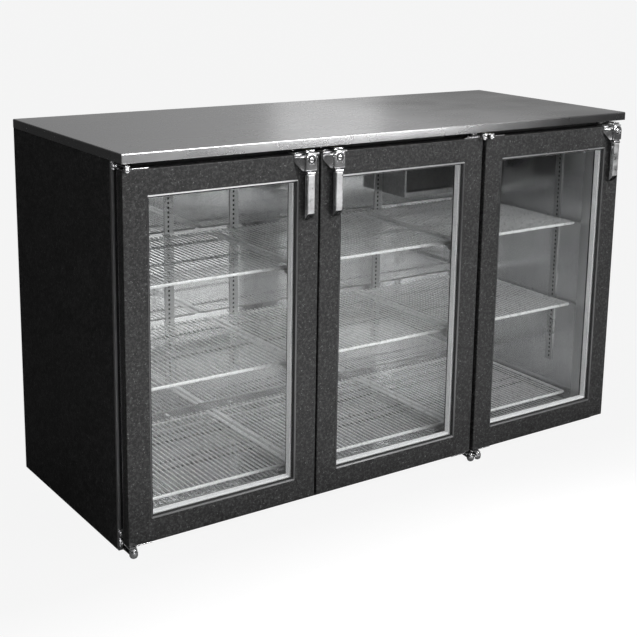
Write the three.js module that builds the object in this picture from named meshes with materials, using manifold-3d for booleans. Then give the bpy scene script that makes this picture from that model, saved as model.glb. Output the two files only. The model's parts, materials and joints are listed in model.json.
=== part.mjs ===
// Three-door under counter fridge: insulated cabinet with a stainless top, three hinged glass doors
// with edge-mounted key latches, wire shelves and a small evaporator.
// Millimetres, +Z up. The front faces -Y. The origin is the centre of the base.

import * as THREE from "three";
import { mergeVertices } from "three/addons/utils/BufferGeometryUtils.js";
import Module from "manifold-3d";

const wasm = await Module();
wasm.setup();

// ---------------------------------------------------------------------------------------------
// Driving dimensions. "Across" is measured from the left end of the top, "depth" from the back
// face towards the front, and heights from the floor.

const topWidth = 1524;
const topDepth = 610;
const overallHeight = 914.4;
const fasciaHeight = 22;
const doorFront = 600; // depth of the door's outer face
const latchFront = 626; // depth of the foremost point, the key cylinder
const clear = 0.3; // gap between pieces that touch

const sheet = 1.5; // outer panels
const bodyInset = 1.5; // the top stands this far past each end panel
const bodyHeight = overallHeight - fasciaHeight;

const cavity = { left: 50, right: 1474, back: 46, floor: 62, ceiling: 842 };
const linerSheet = 1.2;

const frameBack = 516; // depth of the cabinet frame behind the doors
const frameFront = 556;
const frameLip = 7; // the frame's bright edge, seen beside the end panels
const mullionWidth = 50;

const doorWidth = 499;
const doorHeight = 852;
const doorFloor = 25;
const doorLefts = [5, 509, 1020];
const doorTop = doorFloor + doorHeight;
const panDepth = 24; // outer part of the door
const innerPanDepth = 10;
const windowMargin = { side: 61, top: 62, bottom: 58 };
const pivotInset = 6; // from the door's hinge edge
const pivotProud = 12; // in front of the door's face

const shelfLevels = { lower: 79, middle: 348, upper: 590 }; // top of each shelf
const shelfSpans = [
  [60, 503],
  [510, 1010],
  [1017, 1464],
];
const shelfThickness = 6;

// ---------------------------------------------------------------------------------------------
// Helpers

const X = (across) => across - topWidth / 2;
const Y = (depth) => latchFront / 2 - depth;

function solid(geometry) {
  const bare = geometry.clone();
  bare.deleteAttribute("normal");
  bare.deleteAttribute("uv");
  const merged = mergeVertices(bare, 1e-4);
  const numbers = { numProp: 3 };
  numbers.vertProperties = merged.attributes.position.array;
  numbers.triVerts = new Uint32Array(merged.index.array);
  return new wasm.Manifold(new wasm.Mesh(numbers));
}

function geometryOf(body) {
  const mesh = body.getMesh();
  const geometry = new THREE.BufferGeometry();
  geometry.setAttribute("position", new THREE.BufferAttribute(mesh.vertProperties, 3));
  geometry.setIndex(new THREE.BufferAttribute(mesh.triVerts, 1));
  return geometry;
}

const join = (first, ...others) => others.reduce((all, one) => all.add(one), first);
const cut = (body, ...tools) => tools.reduce((rest, tool) => rest.subtract(tool), body);

// A box from ranges across, in depth and in height.
function block([left, right], [back, front], [low, high]) {
  const box = new THREE.BoxGeometry(right - left, front - back, high - low);
  box.translate(X((left + right) / 2), Y((back + front) / 2), (low + high) / 2);
  return solid(box);
}

// A round bar: direction "x" or "y", centred on a point given as across, depth, height.
function bar(direction, radius, length, [across, depth, height], sides = 20) {
  const geometry = new THREE.CylinderGeometry(radius, radius, length, sides);
  if (direction === "x") geometry.rotateZ(Math.PI / 2);
  geometry.translate(X(across), Y(depth), height);
  return solid(geometry);
}

// A plate with an outline given as across and depth, from a low to a high face.
function plate(outline, holes, [low, high]) {
  const shape = new THREE.Shape(outline.map(([a, d]) => new THREE.Vector2(X(a), Y(d))));
  for (const { at, radius } of holes) {
    const sides = 20;
    const points = Array.from({ length: sides }, (_, i) => {
      const turn = (2 * Math.PI * i) / sides;
      return new THREE.Vector2(X(at[0]) + radius * Math.cos(turn), Y(at[1]) + radius * Math.sin(turn));
    });
    shape.holes.push(new THREE.Path(points));
  }
  const settings = { depth: high - low, bevelEnabled: false };
  const geometry = new THREE.ExtrudeGeometry(shape, settings);
  geometry.translate(0, 0, low);
  return solid(geometry);
}

// A profile given as depth and height, extruded across from left to right.
function sideProfile(outline, [left, right]) {
  const shape = new THREE.Shape(outline.map(([d, h]) => new THREE.Vector2(Y(d), h)));
  const settings = { depth: right - left, bevelEnabled: false };
  const geometry = new THREE.ExtrudeGeometry(shape, settings);
  geometry.rotateX(Math.PI / 2);
  geometry.rotateZ(Math.PI / 2);
  geometry.translate(X(left), 0, 0);
  return solid(geometry);
}

// A round solid on a vertical axis, from a profile of [radius, height] that starts and ends on it.
function turned(profile, [across, depth], sides = 20) {
  const points = profile.map(([r, h]) => new THREE.Vector2(r, h));
  const geometry = new THREE.LatheGeometry(points, sides);
  geometry.rotateX(Math.PI / 2);
  geometry.translate(X(across), Y(depth), 0);
  return solid(geometry);
}

const finish = (color, roughness, metalness) =>
  new THREE.MeshStandardMaterial({ color, roughness, metalness });

const look = {
  stainless: finish(0xc9cbcc, 0.3, 1),
  black: finish(0x2b2c2e, 0.6, 0.1),
  chrome: finish(0xdcdddf, 0.15, 1),
  liner: finish(0xb4b6b8, 0.35, 1),
  zinc: finish(0xa8aaac, 0.5, 1),
  foam: finish(0xe3dcb8, 0.9, 0),
  glass: finish(0xcfd8d6, 0.05, 0),
  rubber: finish(0x1c1c1d, 0.8, 0),
  wire: finish(0xd0d1d2, 0.35, 1),
  fins: finish(0x9fa2a5, 0.45, 1),
  plastic: finish(0x17181a, 0.6, 0),
};

const model = new THREE.Group();

function add(name, body, material, parent = model) {
  const mesh = new THREE.Mesh(geometryOf(body), material);
  mesh.name = name;
  parent.add(mesh);
  return mesh;
}

// ---------------------------------------------------------------------------------------------
// Cabinet shell

const bodyLeft = bodyInset;
const bodyRight = topWidth - bodyInset;
const shellLeft = bodyLeft + sheet;
const shellRight = bodyRight - sheet;
const sideFront = frameFront - frameLip - clear;

function countertop() {
  const edge = 2;
  const corner = 3;
  const w = topWidth / 2 - edge;
  const back = Y(0) - edge;
  const front = Y(topDepth) + edge;
  const r = corner - edge;
  const outline = new THREE.Shape();
  outline.absarc(w - r, back - r, r, 0, Math.PI / 2);
  outline.absarc(-w + r, back - r, r, Math.PI / 2, Math.PI);
  outline.absarc(-w + r, front + r, r, Math.PI, 1.5 * Math.PI);
  outline.absarc(w - r, front + r, r, 1.5 * Math.PI, 2 * Math.PI);
  const geometry = new THREE.ExtrudeGeometry(outline, {
    depth: fasciaHeight - 2 * edge,
    bevelSize: edge,
    bevelThickness: edge,
    bevelSegments: 3,
    curveSegments: 3,
  });
  geometry.translate(0, 0, bodyHeight + edge);
  const low = bodyHeight - 1;
  const high = overallHeight - sheet;
  const pocket = block([3, topWidth - 3], [3, frameBack], [low, high]);
  const overhang = block([3, topWidth - 3], [frameBack - 5, topDepth - 2], [bodyHeight + sheet, high]);
  return cut(solid(geometry), pocket, overhang);
}

function sidePanel(left) {
  const across = left ? [bodyLeft, shellLeft] : [shellRight, bodyRight];
  return block(across, [sheet + clear, sideFront], [0, bodyHeight - clear]);
}

const panRim = 20;

function basePan() {
  const outer = block([shellLeft + clear, shellRight - clear], [sheet + clear, frameBack], [0, panRim]);
  const inside = block(
    [shellLeft + clear + sheet, shellRight - clear - sheet],
    [2 * sheet + clear, frameBack - sheet],
    [sheet, panRim + 1],
  );
  return cut(outer, inside);
}

function foamCore() {
  const gap = linerSheet + clear;
  const across = [shellLeft + clear, shellRight - clear];
  const depth = [sheet + clear, frameBack - clear];
  const main = block(across, depth, [panRim + clear, bodyHeight]);
  const inPan = block(
    [across[0] + sheet + clear, across[1] - sheet - clear],
    [depth[0] + sheet + clear, frameBack - sheet - clear],
    [sheet + clear, panRim + 1],
  );
  const inTop = block(
    [across[0] + 1, across[1] - 1],
    [3 + clear, frameBack - clear],
    [bodyHeight - 1, overallHeight - sheet - clear],
  );
  const hollow = block(
    [cavity.left - gap, cavity.right + gap],
    [cavity.back - gap, frameBack + 1],
    [cavity.floor - gap, cavity.ceiling + gap],
  );
  return cut(join(main, inPan, inTop), hollow);
}

function innerLiner() {
  const outer = block(
    [cavity.left - linerSheet, cavity.right + linerSheet],
    [cavity.back - linerSheet, frameBack - clear],
    [cavity.floor - linerSheet, cavity.ceiling + linerSheet],
  );
  const inside = block(
    [cavity.left, cavity.right],
    [cavity.back, frameBack + 1],
    [cavity.floor, cavity.ceiling],
  );
  return cut(outer, inside);
}

const mullionCentres = [1, 2].map((i) => (doorLefts[i - 1] + doorWidth + doorLefts[i]) / 2);

// Left and right edge of the cabinet opening behind each door.
const openingSpans = [
  [cavity.left, mullionCentres[0] - mullionWidth / 2],
  [mullionCentres[0] + mullionWidth / 2, mullionCentres[1] - mullionWidth / 2],
  [mullionCentres[1] + mullionWidth / 2, cavity.right],
];

function frontFrame() {
  const high = bodyHeight - clear;
  const lipBack = frameFront - frameLip;
  const rear = block([shellLeft + clear, shellRight - clear], [frameBack + clear, frameFront], [0, high]);
  const lip = block([bodyLeft, bodyRight], [lipBack, frameFront], [0, high]);
  const openings = openingSpans.map((span) =>
    block(span, [frameBack - 1, frameFront + 1], [cavity.floor, cavity.ceiling]),
  );
  return cut(join(rear, lip), ...openings);
}

add("countertop", countertop(), look.stainless);
add("side_panel_left", sidePanel(true), look.black);
add("side_panel_right", sidePanel(false), look.black);
add("back_panel", block([bodyLeft, bodyRight], [0, sheet], [0, bodyHeight - clear]), look.zinc);
add("base_pan", basePan(), look.zinc);
add("foam_core", foamCore(), look.foam);
add("inner_liner", innerLiner(), look.liner);
add("front_frame", frontFrame(), look.stainless);

// ---------------------------------------------------------------------------------------------
// Hinge brackets on the cabinet. A pivot is in front of the door face, so the door's whole
// thickness swings clear of its neighbour.

const pivotDepth = doorFront + pivotProud;
const pivots = [
  doorLefts[0] + pivotInset,
  doorLefts[1] + doorWidth - pivotInset,
  doorLefts[2] + pivotInset,
];
const pinRadius = 4;
const eyeRadius = 8;
const armSheet = 2;
const bracketBack = frameFront + clear;
const plateSheet = 2.4; // the door's own hinge plates

// The arm's plan: straight from the flange to the pivots, with round ends.
function armOutline(at, flange) {
  const first = at[0];
  const last = at[at.length - 1];
  const points = [
    [flange[0], bracketBack],
    [flange[1], bracketBack],
    [last + eyeRadius, pivotDepth],
  ];
  const steps = 8;
  const wide = (last - first) / 2 + eyeRadius;
  const middle = (first + last) / 2;
  for (let i = 1; i < steps; i += 1) {
    const turn = (Math.PI * i) / steps;
    points.push([middle + wide * Math.cos(turn), pivotDepth + eyeRadius * Math.sin(turn)]);
  }
  points.push([first - eyeRadius, pivotDepth]);
  return points;
}

function topBracket(at, flange) {
  const armTop = bodyHeight - 3.4;
  const armLow = armTop - armSheet;
  const flangeLow = doorTop - 4;
  const upright = block(flange, [bracketBack, bracketBack + armSheet], [flangeLow, armTop]);
  const arm = plate(armOutline(at, flange), [], [armLow, armTop]);
  const pins = at.map((across) => {
    const domeLow = doorTop - 4.6;
    const nutLow = doorTop + clear + plateSheet + 0.4;
    const pin = [
      [0, domeLow],
      [3, domeLow + 0.5],
      [4.8, domeLow + 2],
      [5.4, domeLow + 4],
      [5.4, doorTop],
      [pinRadius, doorTop],
      [pinRadius, nutLow],
      [6.5, nutLow],
      [6.5, armLow + 0.5],
      [0, armLow + 0.5],
    ];
    return turned(pin, [across, pivotDepth]);
  });
  return join(upright, arm, ...pins);
}

function bottomBracket(at, flange, flangeHigh) {
  const armLow = 12;
  const armTop = armLow + 2.5;
  const upright = block(flange, [bracketBack, bracketBack + armSheet], [armLow, flangeHigh]);
  const arm = plate(armOutline(at, flange), [], [armLow, armTop]);
  const cups = at.map((across) => {
    const cup = [
      [0, 3],
      [4.5, 3.6],
      [7.6, 5.6],
      [9.4, 9],
      [9.8, armLow],
      [9.8, armTop + 4],
      [pinRadius, armTop + 4.4],
      [pinRadius, doorFloor + 0.4],
      [0, doorFloor + 1],
    ];
    return turned(cup, [across, pivotDepth]);
  });
  return join(upright, arm, ...cups);
}

const leftPivots = [pivots[0]];
const centrePivots = [pivots[1], pivots[2]];
add("hinge_bracket_top_left", topBracket(leftPivots, [3, 21]), look.chrome);
add("hinge_bracket_top_centre", topBracket(centrePivots, [992, 1035]), look.chrome);
add("hinge_bracket_bottom_left", bottomBracket(leftPivots, [2, 11], 52), look.chrome);
add("hinge_bracket_bottom_centre", bottomBracket(centrePivots, [1003, 1025], 52), look.chrome);

// ---------------------------------------------------------------------------------------------
// Strikes: hooked plates on the frame, one over each latch.

const latchInset = 37; // latch centre from the door's free edge
const latchCentres = [
  doorLefts[0] + doorWidth - latchInset,
  doorLefts[1] + latchInset,
  doorLefts[2] + doorWidth - latchInset,
];

function strike(centre) {
  const armTop = bodyHeight - 4.4;
  const half = 12;
  const tip = doorFront + 16;
  const span = [centre - half, centre + half];
  const flange = block(span, [bracketBack, bracketBack + armSheet], [doorTop + 1.5, armTop]);
  const arm = block(span, [bracketBack, tip], [armTop - armSheet, armTop]);
  const lip = block(span, [tip - armSheet, tip], [doorTop + 6.5, armTop]);
  return join(flange, arm, lip);
}

latchCentres.forEach((centre, i) => add(`strike_${i + 1}`, strike(centre), look.chrome));

// ---------------------------------------------------------------------------------------------
// Doors. Each is a group whose origin is its own hinge line; door 2 is hinged on the right.

const windowSpan = (left) => [left + windowMargin.side, left + doorWidth - windowMargin.side];
const windowHeights = [doorFloor + windowMargin.bottom, doorTop - windowMargin.top];
const glassBite = 10; // how far the frame covers the glass unit's edge
const glassThickness = 25.4;
const frontLip = 8;
const paneThickness = 4;
const spacerWidth = 12;

const grow = ([low, high], by) => [low - by, high + by];

function doorFrame(left) {
  const across = [left, left + doorWidth];
  const heights = [doorFloor, doorTop];
  const panBack = doorFront - panDepth;
  const innerBack = panBack - innerPanDepth;
  const pan = block(across, [panBack, doorFront], heights);
  const innerPan = block(grow(across, -4), [innerBack, panBack + 1], grow(heights, -4));
  const window = block(windowSpan(left), [innerBack - 1, doorFront + 1], windowHeights);
  const rebate = block(
    grow(windowSpan(left), glassBite + clear),
    [innerBack - 1, doorFront - frontLip],
    grow(windowHeights, glassBite + clear),
  );
  return cut(join(pan, innerPan), window, rebate);
}

// Two panes on a spacer; the slot in the lower spacer keeps the space between them open.
function glassUnit(left) {
  const front = doorFront - frontLip - clear;
  const back = front - glassThickness;
  const across = grow(windowSpan(left), glassBite);
  const heights = grow(windowHeights, glassBite);
  const unit = block(across, [back, front], heights);
  const between = [back + paneThickness, front - paneThickness];
  const space = block(grow(across, -spacerWidth), between, grow(heights, -spacerWidth));
  const middle = left + doorWidth / 2;
  const vent = block(
    [middle - 60, middle + 60],
    [between[0] + 5, between[1] - 5],
    [heights[0] - 1, heights[0] + spacerWidth + 1],
  );
  return cut(unit, space, vent);
}

function gasket(left) {
  const inset = 9;
  const wide = 14;
  const across = grow([left, left + doorWidth], -inset);
  const heights = grow([doorFloor, doorTop], -inset);
  const depth = [frameFront + 0.5, doorFront - panDepth - innerPanDepth - clear];
  const outer = block(across, depth, heights);
  const inside = block(grow(across, -wide), [depth[0] - 1, depth[1] + 1], grow(heights, -wide));
  return cut(outer, inside);
}

// The door's hinge plate: a strip along its edge with an eye round the pivot.
function hingePlate(pivot, towards, [low, high]) {
  const reach = 56;
  const back = doorFront - 22;
  const turnBy = Math.PI / 8;
  const end = pivot + towards * reach;
  const outline = [
    [pivot - towards * 6, back],
    [end, back],
    [end, doorFront - 0.5],
    [pivot + towards * 12, doorFront - 0.5],
  ];
  for (let i = 0; i <= 8; i += 1) {
    const turn = i * turnBy;
    const across = pivot + towards * eyeRadius * Math.cos(turn);
    outline.push([across, pivotDepth + eyeRadius * Math.sin(turn)]);
  }
  outline.push([pivot - towards * 8, doorFront - 4]);
  const eye = { at: [pivot, pivotDepth], radius: pinRadius + clear };
  return plate(outline, [eye], [low, high]);
}

// ---------------------------------------------------------------------------------------------
// Latch: a housing on the door's top corner, a lever that hangs from it, and a key cylinder.

const housingHalf = 15.7;
const housingLow = 841;
const housingFront = doorFront + 24;
const wingHalf = 34; // the housing's foot, where it meets the door
const wingHeights = [862, doorTop + 1.8];
const lockHeight = 866.5;
const lockRadius = 9.2;
const leverAxis = { depth: doorFront + 18, height: 848 };
const neckHalf = 4.8;
const armDepths = [doorFront + 8.5, doorFront + 11.5]; // the catch arm, behind the key cylinder

// The housing's plan flares out to a wide foot on the door.
function housingPlan(centre) {
  const half = [
    [wingHalf, doorFront + clear],
    [wingHalf - 1, doorFront + 3],
    [24, doorFront + 7],
    [18, doorFront + 12],
    [housingHalf, doorFront + 18],
    [housingHalf, housingFront],
  ];
  const right = half.map(([across, depth]) => [centre + across, depth]);
  const left = half.map(([across, depth]) => [centre - across, depth]).reverse();
  return plate([...right, ...left], [], [housingLow - 1, lockHeight + housingHalf + 1]);
}

function latchBody(centre) {
  const back = doorFront + clear;
  const crown = lockHeight + housingHalf;
  const side = [
    [back, crown],
    [housingFront, crown],
    [housingFront, housingLow],
    [doorFront + 12, housingLow],
    [back, wingHeights[0]],
  ];
  const wings = grow([centre, centre], wingHalf);
  const span = grow([centre, centre], housingHalf);
  const deep = [doorFront, housingFront + 1];
  const arch = join(
    bar("y", housingHalf, 40, [centre, doorFront + 18, lockHeight], 32),
    block(span, deep, [housingLow - 1, lockHeight]),
    block(wings, deep, wingHeights),
  );
  const housing = sideProfile(side, wings).intersect(arch).intersect(housingPlan(centre));
  const topPlate = block(wings, [doorFront - 24, doorFront + 3], [doorTop + clear, wingHeights[1]]);
  const boreMiddle = (armDepths[1] + latchFront) / 2 + 1;
  const bore = bar("y", lockRadius + clear, 16, [centre, boreMiddle, lockHeight]);
  const slotSpan = grow([centre, centre], neckHalf + 0.5);
  const lowSlot = block(slotSpan, [doorFront + 4, doorFront + 21.5], [housingLow - 8, 853.5]);
  const armSlot = [doorFront - 1, armDepths[1] + 1]; // room for the catch arm's swing
  const rearSlot = block(slotSpan, armSlot, [housingLow - 8, crown + 5]);
  const pinHole = bar("x", 2.2, 26, [centre, leverAxis.depth, leverAxis.height], 16);
  return cut(join(housing, topPlate), bore, lowSlot, rearSlot, pinHole);
}

function latchLever(centre) {
  const gripFront = doorFront + 24;
  const gripBack = doorFront + 10;
  const shoulderTop = housingLow - 2.5;
  const grip = [
    [gripBack, shoulderTop - 3],
    [gripFront, shoulderTop - 3],
    [gripFront, 740],
    [gripBack, 724],
  ];
  const handle = sideProfile(grip, grow([centre, centre], 9.5));
  const shoulderSpan = grow([centre, centre], 12.5);
  const shoulder = block(shoulderSpan, [gripBack, gripFront + 0.5], [shoulderTop - 7, shoulderTop]);
  const neckSpan = grow([centre, centre], neckHalf);
  const neck = block(neckSpan, [armDepths[0], leverAxis.depth + 1], [shoulderTop - 1, 852.4]);
  const catchArm = block(neckSpan, armDepths, [850, 880.2]);
  const crossPin = bar("x", 1.9, 25, [centre, leverAxis.depth, leverAxis.height], 16);
  return join(handle, shoulder, neck, catchArm, crossPin);
}

function lockCylinder(centre) {
  const rear = armDepths[1] + 1.5;
  const middle = (rear + latchFront) / 2;
  const barrel = bar("y", lockRadius, latchFront - rear, [centre, middle, lockHeight]);
  const keyway = block(
    grow([centre, centre], 1.2),
    [latchFront - 2.5, latchFront + 1],
    grow([lockHeight, lockHeight], 5),
  );
  return cut(barrel, keyway);
}

doorLefts.forEach((left, i) => {
  const number = i + 1;
  const door = new THREE.Group();
  const hinge = pivots[i];
  const towards = i === 1 ? -1 : 1; // from the pivot to the door's free edge
  const latch = latchCentres[i];
  door.position.set(X(hinge), Y(pivotDepth), 0);
  const place = (name, body, material) => {
    const mesh = add(`${name}_${number}`, body, material, door);
    mesh.position.copy(door.position).negate();
  };
  place("door_frame", doorFrame(left), look.black);
  place("glass_unit", glassUnit(left), look.glass);
  place("door_gasket", gasket(left), look.rubber);
  const above = [doorTop + clear, doorTop + clear + plateSheet];
  const below = [doorFloor - clear - plateSheet, doorFloor - clear];
  place("hinge_plate_top", hingePlate(hinge, towards, above), look.chrome);
  place("hinge_plate_bottom", hingePlate(hinge, towards, below), look.chrome);
  place("latch_body", latchBody(latch), look.chrome);
  place("latch_lever", latchLever(latch), look.chrome);
  place("lock_cylinder", lockCylinder(latch), look.chrome);
  model.add(door);
});

// ---------------------------------------------------------------------------------------------
// Shelves: a rim with wires from front to back

const shelfDepth = [70, 502];

function shelf([left, right], top) {
  const rim = 6;
  const wire = 4;
  const gaps = 17;
  const pitch = (right - left - 2 * rim + wire) / gaps;
  const heights = [top - shelfThickness, top];
  const gapDepth = grow(shelfDepth, -rim);
  const slots = Array.from({ length: gaps }, (_, i) => {
    const from = left + rim + pitch * i;
    return block([from, from + pitch - wire], gapDepth, grow(heights, 1));
  });
  return cut(block([left, right], shelfDepth, heights), ...slots);
}

for (const [level, top] of Object.entries(shelfLevels)) {
  shelfSpans.forEach((span, i) => add(`shelf_${level}_${i + 1}`, shelf(span, top), look.wire));
}

// ---------------------------------------------------------------------------------------------
// Pilasters: shallow channels that the shelf clips hook into

const pilasterWidth = 26;
const pilasterDepth = 3.2;
const pilasterHeights = [152, 806];

function backPilaster(centre) {
  const from = cavity.back + clear;
  const channel = block(grow([centre, centre], pilasterWidth / 2), [from, from + pilasterDepth], pilasterHeights);
  const hollow = block(grow([centre, centre], 7), [from - 1, from + 1.8], grow(pilasterHeights, 1));
  return cut(channel, hollow);
}

function endPilaster(left, depth) {
  const wall = left ? cavity.left + clear : cavity.right - clear;
  const inward = left ? 1 : -1;
  const between = (a, b) => [Math.min(a, b), Math.max(a, b)];
  const channel = block(
    between(wall, wall + inward * pilasterDepth),
    grow([depth, depth], pilasterWidth / 2),
    pilasterHeights,
  );
  const hollow = block(
    between(wall - inward, wall + inward * 1.8),
    grow([depth, depth], 7),
    grow(pilasterHeights, 1),
  );
  return cut(channel, hollow);
}

[400, 600, 897, 1097].forEach((centre, i) =>
  add(`pilaster_back_${i + 1}`, backPilaster(centre), look.liner),
);
const endDepths = { rear: 132, front: 419 };
for (const [place, depth] of Object.entries(endDepths)) {
  add(`pilaster_left_${place}`, endPilaster(true, depth), look.liner);
  add(`pilaster_right_${place}`, endPilaster(false, depth), look.liner);
}

// ---------------------------------------------------------------------------------------------
// Evaporator: a housing on the back wall with an open finned coil and a fan beside it

const evaporator = { left: 1118, right: 1444, back: cavity.back + clear, front: 148, low: 632, high: 838 };
const coilRight = 1324;
const fanRadius = 52;
const bladePitch = 0.42; // radians
const fanCentre = [1386, 140, (evaporator.low + evaporator.high) / 2];
const dripTray = 14;

function evaporatorHousing() {
  const e = evaporator;
  const outer = block([e.left, e.right], [e.back, e.front], [e.low, e.high]);
  const inside = block(
    [e.left + sheet, e.right - sheet],
    [e.back - 1, e.front - sheet],
    [e.low + dripTray, e.high - sheet],
  );
  const coilFace = block([e.left + 6, coilRight], [e.front - 5, e.front + 1], [e.low + dripTray, e.high - 8]);
  const fanHole = bar("y", fanRadius + 4, 30, [fanCentre[0], e.front, fanCentre[2]], 32);
  return cut(outer, inside, coilFace, fanHole);
}

function evaporatorCoil() {
  const e = evaporator;
  const across = [e.left + sheet + 4, coilRight - 2];
  const heights = [e.low + dripTray + 2, e.high - 8];
  const fins = 22;
  const finSheet = 2;
  const pitch = (across[1] - across[0] - finSheet) / (fins - 1);
  const back = e.back + 12;
  const front = e.front - sheet - 3;
  const outline = [
    [across[0], back],
    [across[1], back],
  ];
  for (let i = fins - 1; i >= 0; i -= 1) {
    const from = across[0] + pitch * i;
    if (i < fins - 1) outline.push([from + finSheet, back + 8]);
    outline.push([from + finSheet, front]);
    outline.push([from, front]);
    if (i > 0) outline.push([from, back + 8]);
  }
  return plate(outline, [], heights);
}

function fanMotor() {
  const e = evaporator;
  const [across, , height] = fanCentre;
  const motor = bar("y", 24, 40, [across, e.back + 52, height], 24);
  const stem = bar("y", 4, 14, [across, e.back + 79, height], 12);
  const strap = block([across - 8, across + 8], [e.back + 12, e.back + 40], [e.low + dripTray + 1, e.high - 3]);
  return join(motor, stem, strap);
}

function evaporatorFan() {
  const [across, depth, height] = fanCentre;
  const hub = bar("y", 14, 12, [across, depth, height], 20);
  const blades = [0, 1, 2, 3, 4].map((i) => {
    const blade = new THREE.BoxGeometry(26, 2, fanRadius - 10);
    blade.translate(0, 0, (fanRadius - 10) / 2 + 8);
    blade.rotateZ(bladePitch);
    blade.rotateY((i * 2 * Math.PI) / 5);
    blade.translate(X(across), Y(depth), height);
    return solid(blade);
  });
  return join(hub, ...blades);
}

add("evaporator_housing", evaporatorHousing(), look.zinc);
add("evaporator_coil", evaporatorCoil(), look.fins);
add("fan_motor", fanMotor(), look.plastic);
add("evaporator_fan", evaporatorFan(), look.plastic);

export default model;
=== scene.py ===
"""Looks of the three-door back-bar fridge, built round its CAD frame. Shapes are in millimetres."""

import json
import math

import bmesh
import bpy
from mathutils import Matrix, Vector


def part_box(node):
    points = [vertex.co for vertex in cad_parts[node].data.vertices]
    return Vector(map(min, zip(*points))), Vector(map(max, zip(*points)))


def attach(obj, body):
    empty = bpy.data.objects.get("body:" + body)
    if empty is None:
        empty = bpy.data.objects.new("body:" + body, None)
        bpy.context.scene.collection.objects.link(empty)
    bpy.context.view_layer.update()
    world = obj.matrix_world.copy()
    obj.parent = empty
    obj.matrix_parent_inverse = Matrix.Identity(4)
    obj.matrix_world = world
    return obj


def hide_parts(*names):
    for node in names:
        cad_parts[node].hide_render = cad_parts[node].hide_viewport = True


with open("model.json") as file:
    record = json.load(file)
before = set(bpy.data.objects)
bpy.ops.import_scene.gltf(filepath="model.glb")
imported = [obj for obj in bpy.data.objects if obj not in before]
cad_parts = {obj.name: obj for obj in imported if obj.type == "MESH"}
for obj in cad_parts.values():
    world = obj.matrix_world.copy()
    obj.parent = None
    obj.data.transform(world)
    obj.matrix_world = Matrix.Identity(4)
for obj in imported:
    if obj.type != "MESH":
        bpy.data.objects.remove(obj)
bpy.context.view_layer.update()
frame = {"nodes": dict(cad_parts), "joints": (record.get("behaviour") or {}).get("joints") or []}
scene = bpy.context.scene
MM = 0.001
DOORS = (1, 2, 3)
LEVELS = ("lower", "middle", "upper")
SLOT_COLUMN = 0.42  # where the slots are across a pilaster, as a share of its width

CAMERA_PLACE = (-1.8591, -2.6188, 1.3326)
CAMERA_ANGLES = (35.981, -12.373, 1.225)  # azimuth from +Y, elevation and roll, in degrees
CAMERA_LENS = 69.9
CAMERA_SHIFT = (-0.05, -0.15)
MIDDLE = (0, 0, 0.45)
DOOR_FRONTS = (0.2, -0.3, 0.6)
# where each light is, what it faces, its size and its power, in metres and watts
LIGHTS = {
    "key": ((1.0, -3.4, 3.0), MIDDLE, (2.4, 1.2), 150),
    "flash": ((2.15, -3.3, 0.9), DOOR_FRONTS, (0.6, 0.4), 10),
    "glow": ((1.45, -3.3, 0.9), DOOR_FRONTS, (0.8, 0.4), 2.5),
    "rim": ((-3.0, -1.6, 3.2), (-0.2, -0.3, 0.8), (1.4, 0.7), 14),
    "sky": ((2.05, 3.0, 1.75), (0, 0, 0.9), (0.6, 0.5), 0.75),
    "fill": ((-1.2, -3.8, 2.2), (0, -0.3, 0.5), (1.2, 0.8), 32),
    "side": ((3.8, 1.6, 2.4), MIDDLE, (2.0, 2.0), 60),
    "back": ((-0.5, 4.0, 2.5), MIDDLE, (2.2, 1.4), 45),
}
UNMIRRORED = ("side", "back")


def limits(node):
    """Lowest and highest corner of a CAD node, in millimetres."""
    low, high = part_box(node)
    return Vector(low) / MM, Vector(high) / MM


def joint_place(name):
    """Where a joint is, in millimetres."""
    joint = next(j for j in frame["joints"] if j["name"] == name)
    return Vector(joint["pos_m"]) / MM


# ------------------------------------------------------------------------------------------
# Nodes and objects


class Nodes:
    """Adds shader nodes to a tree. An input is a number, a tuple or another node's output."""

    def __init__(self, tree):
        self.tree = tree

    def put(self, socket, value):
        if isinstance(value, bpy.types.NodeSocket):
            self.tree.links.new(value, socket)
        else:
            socket.default_value = value

    def add(self, kind, inputs=(), **settings):
        node = self.tree.nodes.new(f"ShaderNode{kind}")
        for name, value in settings.items():
            setattr(node, name, value)
        for name, value in dict(inputs).items():
            self.put(node.inputs[name], value)
        return node

    def calc(self, operation, *values, clamp=False):
        numbers = dict(enumerate(values))
        return self.add("Math", numbers, operation=operation, use_clamp=clamp).outputs[0]

    def axes(self, vector):
        return self.add("SeparateXYZ", {0: vector}).outputs

    def ranged(self, value, low, high, start=0.3, end=0.7):
        """Runs from low to high while value runs from start to end."""
        ends = {"From Min": start, "From Max": end, "To Min": low, "To Max": high}
        return self.add("MapRange", {"Value": value, **ends}).outputs["Result"]

    def blend(self, factor, a, b, mode="MIX"):
        node = self.add("Mix", data_type="RGBA", blend_type=mode)
        for name, value in (("Factor", factor), ("A", a), ("B", b)):
            socket = next(s for s in node.inputs if s.name == name and s.enabled)
            self.put(socket, (*value, 1) if isinstance(value, tuple) else value)
        return next(s for s in node.outputs if s.enabled)

    def mix_surface(self, share, first, second):
        """Makes the material's surface a mix of two shaders."""
        mix = self.add("MixShader", {0: share, 1: first.outputs[0], 2: second.outputs[0]})
        self.put(self.tree.nodes["Material Output"].inputs["Surface"], mix.outputs[0])


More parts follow.
